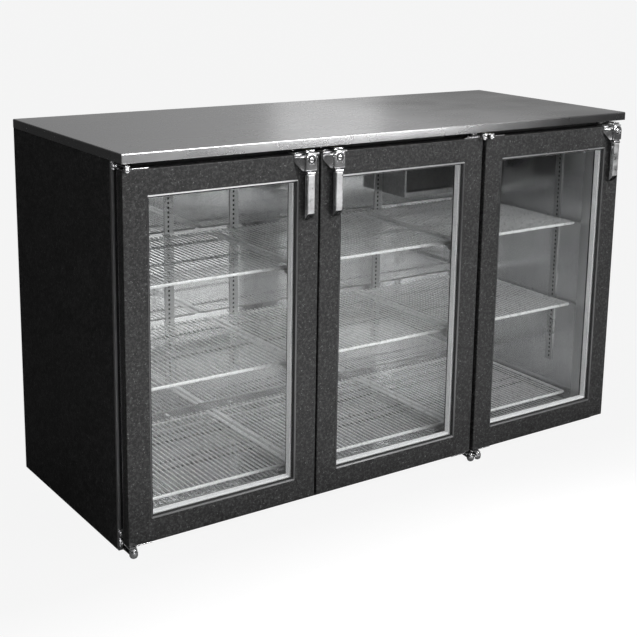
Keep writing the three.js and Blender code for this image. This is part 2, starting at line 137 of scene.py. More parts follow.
class Finish(Nodes):
    """A Principled material with noise patterns. Scales are repeats per metre."""

    def __init__(self, name, metallic=0.0, roughness=0.5):
        self.material = bpy.data.materials.new(name)
        self.material.use_nodes = True
        super().__init__(self.material.node_tree)
        self.shader = self.tree.nodes["Principled BSDF"]
        self.shader.inputs["Metallic"].default_value = metallic
        self.shader.inputs["Roughness"].default_value = roughness
        self.coords = self.add("TexCoord").outputs["Object"]
        self.height = None

    def noise(self, scale, detail=3.0, stretch=(1, 1, 1), rough=0.55):
        place = self.coords
        if stretch != (1, 1, 1):
            place = self.add("Mapping", {"Scale": stretch, "Vector": place}).outputs[0]
        inputs = {"Scale": scale, "Detail": detail, "Roughness": rough, "Vector": place}
        return self.add("TexNoise", inputs).outputs["Fac"]

    def cells(self, scale):
        return self.add("TexVoronoi", {"Scale": scale, "Vector": self.coords}).outputs

    def along(self, axis, low, high, start, end):
        """A ramp along one axis of the object, in metres."""
        return self.ranged(self.axes(self.coords)[axis], low, high, start, end)

    def colour(self, value):
        self.put(self.shader.inputs["Base Color"], value)

    def roughness(self, value):
        self.put(self.shader.inputs["Roughness"], value)

    def bump(self, height, distance, strength=1.0):
        inputs = {"Strength": strength, "Distance": distance * MM, "Height": height}
        if self.height is not None:
            inputs["Normal"] = self.height
        self.height = self.add("Bump", inputs).outputs["Normal"]
        self.put(self.shader.inputs["Normal"], self.height)


def made_object(name, mesh):
    """Turns a finished bmesh into an object in the scene."""
    data = bpy.data.meshes.new(name)
    mesh.to_mesh(data)
    mesh.free()
    obj = bpy.data.objects.new(name, data)
    scene.collection.objects.link(obj)
    return obj


# ------------------------------------------------------------------------------------------
# Camera, lights, floor


def place_camera():
    azimuth, elevation, roll = (math.radians(angle) for angle in CAMERA_ANGLES)
    flat = math.cos(elevation)
    forward = Vector((math.sin(azimuth) * flat, math.cos(azimuth) * flat, math.sin(elevation)))
    level = forward.cross(Vector((0, 0, 1))).normalized()
    upright = level.cross(forward)
    right = level * math.cos(roll) + upright * math.sin(roll)
    up = upright * math.cos(roll) - level * math.sin(roll)
    data = bpy.data.cameras.new("camera")
    data.sensor_width = 36
    data.lens = CAMERA_LENS
    data.shift_x, data.shift_y = CAMERA_SHIFT
    data.clip_end = 200
    camera = bpy.data.objects.new("camera", data)
    scene.collection.objects.link(camera)
    rotation = Matrix((right, up, -forward)).transposed().to_4x4()
    camera.matrix_world = Matrix.Translation(CAMERA_PLACE) @ rotation
    scene.camera = camera


def soft_light(name, place, target, size, power):
    data = bpy.data.lights.new(name, "AREA")
    data.shape = "RECTANGLE"
    data.size, data.size_y = size
    data.energy = power
    light = bpy.data.objects.new(name, data)
    light.location = place
    aim = Vector(target) - Vector(place)
    light.rotation_euler = aim.to_track_quat("-Z", "Y").to_euler()
    light.visible_camera = False
    light.visible_glossy = name not in UNMIRRORED
    scene.collection.objects.link(light)


def studio():
    """A backdrop that the camera sees as white; what lights the object is darker at the left."""
    world = bpy.data.worlds.new("studio")
    scene.world = world
    world.use_nodes = True
    n = Nodes(world.node_tree)
    away = n.axes(n.add("TexCoord").outputs["Generated"])
    rightward = n.calc("MULTIPLY_ADD", away["X"], 0.9, 0.05, clamp=True)
    forward = n.calc("MULTIPLY_ADD", away["Y"], -0.6, -0.2, clamp=True)
    upward = n.calc("MULTIPLY_ADD", away["Z"], 0.8, -0.3, clamp=True)
    level = n.calc("ADD", n.calc("MULTIPLY", rightward, 0.6), n.calc("MULTIPLY", forward, 0.2))
    light = n.calc("ADD", level, n.calc("ADD", upward, 0.035))
    seen = n.add("LightPath").outputs["Is Camera Ray"]
    strength = n.add("Mix", {"Factor": seen, "A": light, "B": 1.0}, data_type="FLOAT")
    background = n.tree.nodes["Background"]
    n.put(background.inputs["Strength"], strength.outputs["Result"])
    n.put(background.inputs["Color"], (1, 1, 1, 1))


def lay_floor():
    """A floor that the camera sees as plain and pale; what the object mirrors of it is painted
    light, a pool of light in front that darkens away from it, towards the back and the right.
    """
    mesh = bmesh.new()
    bmesh.ops.create_circle(mesh, cap_ends=True, radius=60, segments=64)
    floor = made_object("floor", mesh)
    floor.location.z = -0.001
    f = Finish("floor", roughness=0.8)
    squeezed = f.add("VectorMath", {0: f.coords, 1: (0.5, 1, 1)}, operation="MULTIPLY").outputs[0]
    painted_light_pool = (-0.15, -1.2, 0)
    away = f.add("VectorMath", {0: squeezed, 1: painted_light_pool}, operation="DISTANCE").outputs["Value"]
    place = f.axes(f.coords)
    slant = f.calc("MULTIPLY_ADD", place["Y"], 0.86, place["X"])
    # Painted light: the floor's tone is a painted pool of light that the object mirrors.
    tone = f.ranged(away, 0.95, 0.12, 0.55, 1.25)
    tone = f.calc("MULTIPLY", tone, f.ranged(place["Y"], 1.0, 0.2, -0.65, -0.35))
    tone = f.calc("MULTIPLY", tone, f.ranged(slant, 1.0, 0.5, -0.35, 0.15))
    f.colour(tone)
    glow = f.add("Emission", {"Color": (1, 1, 1, 1), "Strength": 1.05})
    seen = f.calc("MULTIPLY", f.add("LightPath").outputs["Is Camera Ray"], 0.86)
    f.mix_surface(seen, f.shader, glow)
    floor.data.materials.append(f.material)


def set_stage():
    scene.view_settings.view_transform = "Standard"
    place_camera()
    studio()
    lay_floor()
    for name, (place, target, size, power) in LIGHTS.items():
        soft_light(name, place, target, size, power)


# ------------------------------------------------------------------------------------------
# Materials. Every pattern is in the object's own coordinates, so it stays with the part.


def grey(value):
    """A neutral tone with a trace of blue."""
    return (value, value, value * 1.01)


def black_grain():
    """Black coil-coated steel with a fine leather-like grain and pale flecks."""
    f = Finish("black_grain", roughness=0.5)
    grain = f.noise(230, 6, rough=0.75)
    patches = f.noise(9, 3)
    base = f.blend(f.ranged(patches, 0.0, 1.0), grey(0.007), grey(0.012))
    mottle = f.ranged(f.noise(140, 4, rough=0.7), 0.0, 1.0, 0.46, 0.66)
    base = f.blend(mottle, base, grey(0.044))
    fleck = f.ranged(f.noise(210, 4, rough=0.85), 0.0, 1.0, 0.60, 0.70)
    f.colour(f.blend(fleck, base, grey(0.23)))
    f.roughness(f.ranged(grain, 0.34, 0.62))
    f.bump(grain, 0.5)
    f.bump(f.noise(95, 3), 0.25)
    f.shader.inputs["Specular IOR Level"].default_value = 0.36
    return f.material


def brushed(name, tone, rough, stretch):
    """Brushed stainless. stretch is small along the brushing."""
    f = Finish(name, metallic=1.0)
    lines = f.noise(1500, 3, stretch)
    smears = f.noise(5, 4, (1, 1.6, 1))
    tint = f.blend(f.ranged(lines, 0.0, 1.0), grey(tone * 0.9), grey(tone * 1.06))
    f.colour(f.blend(f.ranged(smears, 0.0, 0.35), tint, grey(tone * 0.72)))
    f.roughness(f.ranged(smears, rough * 0.85, rough * 1.25))
    f.bump(lines, 0.012, 0.6)
    return f.material


def brushed_top_painted_reflection():
    """The brushed top: broad wiped patches in its roughness, and painted reflection: the colour
    darkens towards the right-hand end, more in broad patches.
    """
    f = Finish("top_steel", metallic=1.0)
    lines = f.noise(1500, 3, (0.03, 1, 1))
    tint = f.blend(f.ranged(lines, 0.0, 1.0), grey(0.58), grey(0.66))
    # Painted reflection: a ramp along X and broad noise patches darken the colour towards the
    # right-hand end.
    along = f.along("X", 0.0, 1.0, 0.08, 0.6)
    painted_reflection_patches = f.ranged(f.noise(3.2, 5, (1, 1.5, 1), 0.5), 0.0, 0.9, 0.42, 0.62)
    tint = f.blend(f.ranged(along, 0.0, 0.9, 0.0, 0.9), tint, grey(0.15))
    f.colour(f.blend(f.calc("MULTIPLY", painted_reflection_patches, along), tint, grey(0.12)))
    f.roughness(f.ranged(f.noise(6, 4, (1, 1.6, 1)), 0.24, 0.30))
    f.bump(lines, 0.004, 0.2)
    return f.material


def polished(name, tone, rough, pits=0.04, metallic=1.0):
    """Plated or cast metal with fine pitting and handling marks."""
    f = Finish(name, metallic=metallic)
    marks = f.noise(160, 4)
    f.colour(f.blend(f.ranged(marks, 0.0, 1.0), grey(tone * 0.82), grey(tone)))
    f.roughness(f.ranged(f.noise(60, 3), rough * 0.7, rough * 1.5))
    f.bump(marks, pits)
    return f.material


def liner_sheet():
    """Bright mill-finish aluminium, a little wavy, with drips and smears, duller on the ends."""
    f = Finish("liner_sheet", metallic=1.0)
    smears = f.noise(7, 4, (1, 1, 0.3))
    rolled = f.noise(420, 3, (1, 1, 0.03))
    tint = f.blend(f.ranged(rolled, 0.0, 1.0), grey(0.74), grey(0.86))
    f.colour(f.blend(f.ranged(smears, 0.0, 0.5), tint, grey(0.50)))
    mirror = f.ranged(smears, 0.06, 0.10)
    satin = f.ranged(smears, 0.17, 0.25)
    right = f.along("X", 0.0, 1.0, 0.66, 0.70)
    left = f.along("X", 0.0, 1.0, -0.66, -0.70)
    f.roughness(f.blend(left, f.blend(right, mirror, satin), satin))
    f.bump(f.noise(4, 2), 0.5)
    f.bump(rolled, 0.012, 0.5)
    return f.material


def galvanised():
    f = Finish("galvanised", metallic=1.0)
    spangle = f.cells(55)
    tone = f.blend(f.noise(14, 2), grey(0.42), grey(0.56))
    f.colour(f.blend(0.18, tone, spangle["Color"], "SOFT_LIGHT"))
    f.roughness(f.ranged(spangle["Distance"], 0.34, 0.52, 0.0, 1.0))
    f.bump(f.noise(220, 3), 0.02)
    return f.material


def foam():
    f = Finish("foam", roughness=0.9)
    pores = f.cells(380)
    f.colour(f.blend(f.noise(20, 3), (0.62, 0.50, 0.28), (0.72, 0.62, 0.38)))
    f.bump(pores["Distance"], 0.5)
    return f.material


def rubber(name, tone):
    f = Finish(name)
    dust = f.noise(45, 4)
    f.colour(f.blend(f.ranged(dust, 0.0, 1.0), grey(tone), grey(tone * 1.9)))
    f.roughness(f.ranged(dust, 0.55, 0.75))
    f.bump(f.noise(900, 2), 0.02)
    return f.material


def spacer_metal():
    """The glass unit's aluminium spacer, with its rows of pinholes."""
    f = Finish("spacer_metal", metallic=0.1)
    holes = f.cells(230)
    dot = f.ranged(holes["Distance"], 1.0, 0.0, 0.10, 0.22)
    tint = f.blend(f.noise(30, 2), grey(0.88), grey(0.94))
    f.colour(f.blend(dot, tint, grey(0.30)))
    f.roughness(f.ranged(f.noise(90, 2), 0.32, 0.45))
    f.bump(f.noise(700, 2, (1, 1, 0.1)), 0.02)
    return f.material


def plastic(name, tone):
    f = Finish(name)
    f.colour(f.blend(f.noise(60, 3), grey(tone), grey(tone * 1.6)))
    f.roughness(f.ranged(f.noise(200, 3), 0.35, 0.5))
    f.bump(f.noise(800, 2), 0.02)
    return f.material


def frame_face():
    """The cabinet frame: steel, with a black front that starts inside its bright edges."""
    black_half_width = 0.7545
    f = Finish("frame_face")
    across = f.calc("ABSOLUTE", f.axes(f.coords)["X"])
    facing = f.axes(f.add("TexCoord").outputs["Normal"])
    inner = f.calc("LESS_THAN", across, black_half_width)
    front = f.calc("LESS_THAN", facing["Y"], -0.5)
    black_part = f.calc("MULTIPLY", inner, front)
    lines = f.noise(1500, 3, (1, 1, 0.03))
    steel = f.blend(f.ranged(lines, 0.0, 1.0), grey(0.56), grey(0.64))
    paint = f.blend(f.noise(30, 3), grey(0.006), grey(0.012))
    f.colour(f.blend(black_part, steel, paint))
    f.roughness(f.ranged(black_part, 0.30, 0.62, 0.0, 1.0))
    f.put(f.shader.inputs["Metallic"], f.ranged(black_part, 1.0, 0.0, 0.0, 1.0))
    f.bump(lines, 0.012, 0.6)
    return f.material


def window_glass():
    """Clear panes: what is behind them shows, with a mirror-like sheen at grazing angles."""
    f = Finish("window_glass")
    f.tree.nodes.remove(f.shader)
    haze = f.noise(6, 2.0, rough=0.5)
    clear = f.add("BsdfTransparent")
    f.put(clear.inputs["Color"], f.blend(haze, (0.960, 0.963, 0.961), (0.975, 0.978, 0.977)))
    gloss = f.add("BsdfGlossy", {"Roughness": 0.03})
    grazing = f.calc("POWER", f.add("LayerWeight", {"Blend": 0.5}).outputs["Facing"], 5.0)
    f.mix_surface(f.calc("MULTIPLY_ADD", grazing, 0.8, 0.03), clear, gloss)
    return f.material


# ------------------------------------------------------------------------------------------
# Mesh tools. Every shape is closed; several shapes may share one mesh.


def skin(mesh, points, faces, slot=0):
    corners = [mesh.verts.new(Vector(p) * MM) for p in points]
    for face in faces:
        made = mesh.faces.new([corners[i] for i in face])
        made.material_index = slot
        made.smooth = True


def loft(mesh, rings, slot=0, closed=False, shift=0):
    """Joins rings of equally many points. Open ends are capped. A closed loft joins its last
    ring to the first, shift points round."""
    size, count = len(rings[0]), len(rings)
    faces = []
    for r in range(count if closed else count - 1):
        a, b = r * size, (r + 1) % count * size
        turn = shift if r == count - 1 else 0
        for i in range(size):
            j = (i + 1) % size
            faces.append((a + (i + turn) % size, a + (j + turn) % size, b + j, b + i))
    if not closed:
        faces.append(tuple(range(size)))
        faces.append(tuple(range((count - 1) * size, count * size)))
    skin(mesh, [p for ring in rings for p in ring], faces, slot)


def corners_of(span_u, span_v):
    """The corners of a rectangle, anticlockwise."""
    (u0, u1), (v0, v1) = span_u, span_v
    return [(u0, v0), (u1, v0), (u1, v1), (u0, v1)]


def block(mesh, low, high, slot=0):
    span_x, span_y, span_z = zip(low, high)
    loft(mesh, [[(x, y, z) for x, y in corners_of(span_x, span_y)] for z in span_z], slot)


def round_corners(span_u, span_v, radius, steps):
    """Points round a rectangle with rounded corners, anticlockwise."""
    (u0, u1), (v0, v1) = span_u, span_v
    points = []
    centres = (
        (u1 - radius, v1 - radius),
        (u0 + radius, v1 - radius),
        (u0 + radius, v0 + radius),
        (u1 - radius, v0 + radius),
    )
    for quarter, (u, v) in enumerate(centres):
        for i in range(steps):
            turn = (quarter + i / (steps - 1)) * math.pi / 2
            points.append((u + radius * math.cos(turn), v + radius * math.sin(turn)))
    return points


def to_xy(u, v, n):
    return (u, v, n)


def to_xz(u, v, n):
    return (u, n, v)


def to_yz(u, v, n):
    return (n, u, v)


def rings_of(rect, steps, plane, corner=1.0, turns=3):
    """Rings round rect, ((u0, u1), (v0, v1)). steps are (inset, level) pairs."""
    rings = []
    for inset, level in steps:
        spans = [(a + inset, b - inset) for a, b in rect]
        radius = max(corner - inset, 0.15)
        points = round_corners(*spans, radius, turns)
        rings.append([plane(u, v, level) for u, v in points])
    return rings


def ring_at(centre, side, other, radius, sides):
    """Points of a circle in the plane of two unit vectors."""
    turns = [i * math.tau / sides for i in range(sides)]
    return [centre + (side * math.cos(t) + other * math.sin(t)) * radius for t in turns]


def circle(centre, axis, radius, sides):
    """Points of a circle round axis."""
    axis = Vector(axis).normalized()
    helper = Vector((0, 0, 1)) if abs(axis.z) < 0.9 else Vector((1, 0, 0))
    side = axis.cross(helper).normalized()
    return ring_at(Vector(centre), side, axis.cross(side), radius, sides)


def turned(mesh, centre, axis, profile, sides=24, slot=0):
    """A lathed shape: profile is (radius, distance along axis) pairs."""
    axis = Vector(axis).normalized()
    rings = [circle(Vector(centre) + axis * along, axis, r, sides) for r, along in profile]
    loft(mesh, rings, slot)


def rod(mesh, start, end, radius, sides=8, slot=0):
    start, end = Vector(start), Vector(end)
    axis = (end - start).normalized()
    loft(mesh, [circle(p, axis, radius, sides) for p in (start, end)], slot)


def bent_rod(mesh, path, radius, sides=8, closed=False):
    """A rod that follows path; its rings lie across the bisector of each bend."""
    path = [Vector(p) for p in path]
    count = len(path)
    rings = []
    side = None
    for i, point in enumerate(path):
        before = path[i - 1] if i or closed else path[0]
        after = path[(i + 1) % count] if i < count - 1 or closed else path[-1]
        along = (after - before).normalized()
        if side is None:
            side = along.orthogonal().normalized()
        side = (side - along * side.dot(along)).normalized()
        rings.append(ring_at(point, side, along.cross(side), radius, sides))
    shift = 0
    if closed:
        # the rings may have turned on their way round, so the nearest points are joined
        shift = min(range(sides), key=lambda s: (rings[-1][s] - rings[0][0]).length)
    loft(mesh, rings, closed=closed, shift=shift)


def perforated(mesh, us, vs, is_hole, plane, levels):
    """A sheet between two levels, made of the cells between us and vs that aren't holes."""
    found = {}
    # a cell's walls: the step to the neighbour behind the wall, and the wall's two corners
    walls = [((-1, 0), (0, 0), (0, 1)), ((1, 0), (1, 0), (1, 1))]
    walls += [((0, -1), (0, 0), (1, 0)), ((0, 1), (0, 1), (1, 1))]

    def corner(i, j, side):
        key = (i, j, side)
        if key not in found:
            found[key] = mesh.verts.new(Vector(plane(us[i], vs[j], levels[side])) * MM)
        return found[key]

    def solid(i, j):
        inside = 0 <= i < len(us) - 1 and 0 <= j < len(vs) - 1
        return inside and not is_hole(i, j)

    def face(*keys):
        made = mesh.faces.new([corner(*k) for k in keys])
        made.smooth = True

    for i in range(len(us) - 1):
        for j in range(len(vs) - 1):
            if not solid(i, j):
                continue
            for side in (0, 1):
                face((i, j, side), (i + 1, j, side), (i + 1, j + 1, side), (i, j + 1, side))
            for (di, dj), (ai, aj), (bi, bj) in walls:
                if not solid(i + di, j + dj):
                    a, b = (i + ai, j + aj), (i + bi, j + bj)
                    face((*a, 0), (*b, 0), (*b, 1), (*a, 1))


def screw(mesh, at, axis, radius, height):
    """A round-headed screw with a cross recess."""
    at, axis = Vector(at), Vector(axis).normalized()
    sides = 16
    profile = [(radius, 0), (radius, height * 0.25), (radius * 0.86, height * 0.7)]
    profile += [(radius * 0.62, height * 0.95)]
    rings = [circle(at + axis * d, axis, r, sides) for r, d in profile]
    for depth, scale in ((height, 1.0), (height * 0.25, 0.8)):
        ring = []
        for i, point in enumerate(circle(at, axis, 1.0, sides)):
            reach = radius * (0.5 if i % 4 == 0 else 0.16) * scale
            ring.append(at + (point - at) * reach + axis * depth)
        rings.append(ring)
    loft(mesh, rings)


def piece(name, mesh, materials, body, replaced=(), bevel=0.0, sharp=35):
    """Turns a finished mesh into an object that rides with a body."""
    bmesh.ops.recalc_face_normals(mesh, faces=mesh.faces)
    obj = made_object(name, mesh)
    for material in materials:
        obj.data.materials.append(material)
    if bevel:
        edge = obj.modifiers.new("edges", "BEVEL")
        edge.width = bevel * MM
        edge.segments = 2
        edge.limit_method = "ANGLE"
        edge.angle_limit = math.radians(sharp)
        edge.harden_normals = True
    else:
        obj.data.set_sharp_from_angle(angle=math.radians(sharp))
        shading = obj.modifiers.new("shading", "WEIGHTED_NORMAL")
        shading.keep_sharp = True
    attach(obj, body)
    if replaced:
        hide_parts(*replaced)


def carved(mesh, cutters):
    """The mesh less the closed shapes in cutters."""
    made = []
    for name, shape in (("solid", mesh), ("cutters", cutters)):
        bmesh.ops.recalc_face_normals(shape, faces=shape.faces)
        made.append(made_object(name, shape))
    cut = made[0].modifiers.new("cut", "BOOLEAN")
    cut.operation = "DIFFERENCE"
    cut.solver = "EXACT"
    cut.use_self = True
    cut.object = made[1]
    result = bmesh.new()
    result.from_object(made[0], bpy.context.evaluated_depsgraph_get())
    for obj in made:
        data = obj.data
        bpy.data.objects.remove(obj)
        bpy.data.meshes.remove(data)
    for face in result.faces:
        face.smooth = True
    return result


def refined(name, node, body, bevel, extra=None):
    """The CAD node's own shape in chrome, with its edges rounded and extra details."""
    mesh = bmesh.new()
    mesh.from_mesh(frame["nodes"][node].data)
    bmesh.ops.remove_doubles(mesh, verts=mesh.verts, dist=1e-6)
    flat = math.radians(1)
    bmesh.ops.dissolve_limit(mesh, angle_limit=flat, verts=mesh.verts, edges=mesh.edges)
    for face in mesh.faces:
        face.material_index = 0
        face.smooth = True
    if extra:
        extra(mesh, node)
    piece(name, mesh, [chrome], body, [node], bevel)


def dress(node, material):
    """Gives a CAD node that stays a better material."""
    data = frame["nodes"][node].data
    data.materials.clear()
    data.materials.append(material)


# ------------------------------------------------------------------------------------------
# Finishes used by the pieces below

black = black_grain()
top_steel = brushed_top_painted_reflection()
frame_steel = brushed("frame_steel", 0.60, 0.30, (1, 1, 0.03))
trim_steel = brushed("trim_steel", 0.66, 0.26, (0.05, 0.05, 1))
# A dark copy of the trim steel: painted shade and painted dark reflection for the trim's sides and
# bottom.
trim_painted_shade = brushed("trim_painted_shade", 0.16, 0.34, (1, 1, 0.05))
pan_steel = brushed("pan_steel", 0.62, 0.40, (1, 1, 0.05))
chrome = polished("chrome", 0.86, 0.13, 0.015)
cast_chrome = polished("cast_chrome", 0.84, 0.15, 0.05)
satin_chrome = polished("satin_chrome", 0.70, 0.36, 0.006)
# Dark metal for the lock ring and fan guard; on the lever's downward faces it is painted shade.
dark_chrome_and_painted_shade = polished("dark_chrome_and_painted_shade", 0.10, 0.25)
wire = polished("shelf_wire", 0.94, 0.30, 0.02, 0.15)
# Darker than the wires: painted shade for the cross rods that lie under them.
rod_painted_shade = polished("shelf_rod_painted_shade", 0.28, 0.25, 0.02, 0.8)
fin_metal = polished("fin_metal", 0.45, 0.42, 0.02)
dark_sheet = polished("dark_sheet", 0.42, 0.46, 0.02)
copper = polished("copper_tube", 0.50, 0.30, 0.02)
liner = liner_sheet()
zinc = galvanised()
seal = rubber("seal_rubber", 0.035)
# Black rubber for the glazing seals; also the painted shade behind the pilaster slots.
dark_seal_and_painted_shade = rubber("dark_seal_and_painted_shade", 0.008)
spacer_finish = spacer_metal()
glass = window_glass()
dark_plastic = plastic("dark_plastic", 0.02)
foam_finish = foam()


# ------------------------------------------------------------------------------------------
# Cabinet


def countertop():
    low, high = limits("countertop")
    rect = ((low.x, high.x), (low.y, high.y))
    top, bottom = high.z, low.z
    steps = [(3.2, top), (2.0, top - 0.25), (0.95, top - 0.95), (0.25, top - 2.0), (0, top - 3.2)]
    steps += [(0, bottom + 1.0), (0.3, bottom + 0.3), (1.0, bottom)]
    steps += [(14, bottom), (14, bottom + 1.2), (1.5, bottom + 1.2), (1.5, top - 3.4)]
    steps += [(3.4, top - 1.5)]
    mesh = bmesh.new()
    loft(mesh, rings_of(rect, steps, to_xy, corner=2.4, turns=4))
    piece("countertop_sheet", mesh, [top_steel], "cabinet", ["countertop"], sharp=50)


def back_screws():
    low, high = limits("back_panel")
    edge, columns = 20, 11
    pitch = (high.x - low.x - 2 * edge) / (columns - 1)
    places = [(low.x + edge + i * pitch, z) for i in range(columns) for z in (24, 868)]
    places += [(x, 160 + i * 140) for i in range(5) for x in (low.x + edge, high.x - edge)]
    mesh = bmesh.new()
    for x, z in places:
        screw(mesh, (x, high.y - 0.6, z), (0, 1, 0), 4.0, 0.6)
    piece("back_screws", mesh, [chrome], "cabinet")


def pilaster(node, plane, levels, across, heights):
    """A slotted shelf standard: two flanges and a web with a column of slots."""
    pitch, slot_high, slot_wide, margin, thick = 12.7, 6.6, 5.6, 8, 1.0
    (u0, u1), (v0, v1) = across, heights
    middle = u0 + (u1 - u0) * SLOT_COLUMN
    us = [u0, middle - slot_wide / 2, middle + slot_wide / 2, u1]
    vs = [v0]
    for k in range(int((v1 - v0 - margin) // pitch)):
        start = v0 + margin + k * pitch
        vs += [start, start + slot_high]
    vs.append(v1)
    base, face = levels
    inward = 1 if face > base else -1
    mesh = bmesh.new()
    web = (face - inward * thick, face)
    perforated(mesh, us, vs, lambda i, j: i == 1 and j % 2 == 1, plane, web)
    for span in ((u0, u0 + thick), (u1 - thick, u1)):
        flange = corners_of(span, heights)
        loft(mesh, [[plane(u, v, n) for u, v in flange] for n in (base, web[0])])
    # A black strip on the wall behind the slots: painted shade, so the slots look dark inside.
    painted_shade_strip = corners_of((middle - 5, middle + 5), (v0 + 1, v1 - 1))
    loft(mesh, [[plane(u, v, base + inward * n) for u, v in painted_shade_strip] for n in (0.1, 0.5)], 1)
    piece(f"{node}_strip", mesh, [frame_steel, dark_seal_and_painted_shade], "cabinet", [node])


def pilasters():
    for k in (1, 2, 3, 4):
        low, high = limits(f"pilaster_back_{k}")
        spans = ((low.x, high.x), (low.z, high.z))
        pilaster(f"pilaster_back_{k}", to_xz, (high.y, low.y), *spans)
    for side in ("left", "right"):
        for end in ("rear", "front"):
            node = f"pilaster_{side}_{end}"
            low, high = limits(node)
            levels = (low.x, high.x) if side == "left" else (high.x, low.x)
            pilaster(node, to_yz, levels, (low.y, high.y), (low.z, high.z))


def shelf(level, number):
    """A wire shelf: a rim, cross rods, and close wires from front to back on top of them."""
    node = f"shelf_{level}_{number}"
    low, high = limits(node)
    thin, rim, front_bar, cross_rod = 1.9, 2.6, 3.6, 3.1  # radii
    overhang, margin, spacing = 9.0, 12, 13.3
    top = high.z
    rim_level = top - 2 * thin - rim + 0.6
    mesh = bmesh.new()
    rect = ((low.x + rim, high.x - rim), (low.y + rim, high.y - rim - overhang))
    path = [(u, v, rim_level) for u, v in round_corners(*rect, 7, 4)]
    bent_rod(mesh, path, rim, 8, closed=True)
    y, z = low.y + front_bar, top - 3.9
    rod(mesh, (low.x + 3, y, z), (high.x - 3, y, z), front_bar, 12)
    # The cross rods take the darker finish: painted shade, as they lie under the wires.
    for share in (0.21, 0.58):
        y, z = high.y - (high.y - low.y) * share, rim_level - 0.5
        rod(mesh, (low.x + rim, y, z), (high.x - rim, y, z), cross_rod, 10, 1)
    width = high.x - low.x - 2 * margin
    count = round(width / spacing)
    for i in range(count + 1):
        x = low.x + margin + i * (width / count)
        rod(mesh, (x, low.y + 5.0, top - thin), (x, high.y - 0.6, top - thin), thin, 8)
    for x in (low.x + 1.2, high.x - 9.2):
        block(mesh, (x, low.y + 4, top - 2.6), (x + 8, high.y - 4, top - 0.6))
    piece(f"{node}_wires", mesh, [wire, rod_painted_shade], "cabinet", [node], sharp=50)


def shelf_supports(level):
    """Clips in the pilasters and brackets on the mullions that carry one level of shelves."""
    top = limits(f"shelf_{level}_1")[0].z - 2.4
    mesh = bmesh.new()
    for k in (1, 2, 3, 4):
        low, high = limits(f"pilaster_back_{k}")
        x = low.x + (high.x - low.x) * SLOT_COLUMN
        outline = [(low.y, top - 15), (low.y - 2, top - 15), (low.y - 17, top - 3)]
        outline += [(low.y - 24, top - 3), (low.y - 24, top), (low.y, top)]
        loft(mesh, [[(x + dx, y, z) for y, z in outline] for dx in (-4, 4)])
    outline = [(0, top - 15), (2, top - 15), (9, top - 3), (14, top - 3), (14, top), (0, top)]
    for side, inward in (("left", 1), ("right", -1)):
        for end in ("rear", "front"):
            low, high = limits(f"pilaster_{side}_{end}")
            face = high.x if inward > 0 else low.x
            y = low.y + (high.y - low.y) * SLOT_COLUMN
            loft(mesh, [[(face + inward * u, y + dy, z) for u, z in outline] for dy in (-4, 4)])
    piece(f"shelf_clips_{level}", mesh, [frame_steel], "cabinet", bevel=0.4)
    mesh = bmesh.new()
    back = limits("front_frame")[1].y
    plate = (back + 0.3, back + 2.3)
    outline = [(2, top - 20), (25, top - 20), (42, top - 2), (42, top), (2, top)]
    for number in (1, 2):
        middle = limits(f"shelf_{level}_{number}")[1].x + 3.5
        for side in (-1, 1):
            loft(mesh, [[(middle + side * u, y, z) for u, z in outline] for y in plate])
            a, b = sorted((middle + side * 4, middle + side * 40))
            block(mesh, (a, back + 2.0, top - 2), (b, back + 26, top))
    piece(f"shelf_brackets_{level}", mesh, [pan_steel], "cabinet", bevel=0.4)


def hinge_screws(mesh, node):
    """Screw heads on a bracket's flange."""
    low, high = limits(node)
    face = high.y - 2.2
    left = "left" in node
    if "top" in node:
        places = [low.x + 5.5] if left else [(low.x + high.x) / 2 + dx for dx in (-4, 5)]
        for x in places:
            screw(mesh, (x, face, high.z - 10.5), (0, -1, 0), 6.3 if left else 4.6, 2.8)
    else:
        places = [low.x + 5.2] if left else [low.x + 15, high.x - 15]
        for x in places:
            for z in (22, 42):
                screw(mesh, (x, face, z), (0, -1, 0), 4.4, 2.4)


def hinges():
    for end in ("top", "bottom"):
        for side in ("left", "centre"):
            node = f"hinge_bracket_{end}_{side}"
            refined(f"{node}_cast", node, "cabinet", 0.5, hinge_screws)
    for i in DOORS:
        for end in ("top", "bottom"):
            node = f"hinge_plate_{end}_{i}"
            refined(f"{node}_bent", node, f"door_{i}", 0.45)
        refined(f"strike_{i}_bent", f"strike_{i}", "cabinet", 0.35)


# ------------------------------------------------------------------------------------------
# Doors


def door_outline(i):
    """The door's outer rectangle, its window, and its front and back, in millimetres."""
    low, high = limits(f"door_frame_{i}")
    glass_low, glass_high = limits(f"glass_unit_{i}")
    bite = 10
    outer = ((low.x, high.x), (low.z, high.z))
    window = ((glass_low.x + bite, glass_high.x - bite), (glass_low.z + bite, glass_high.z - bite))
    return outer, window, low.y, high.y


def frame_loop(mesh, outer, window, steps, corner):
    """A closed loop round the window. steps are (which, inset, depth): o counts inward from
    the outer rectangle and w outward from the window."""
    rings = []
    for which, inset, depth in steps:
        if which == "o":
            rings += rings_of(outer, [(inset, depth)], to_xz, corner, 3)
        else:
            rings += rings_of(window, [(-inset, depth)], to_xz, 0.2, 3)
    loft(mesh, rings, closed=True)


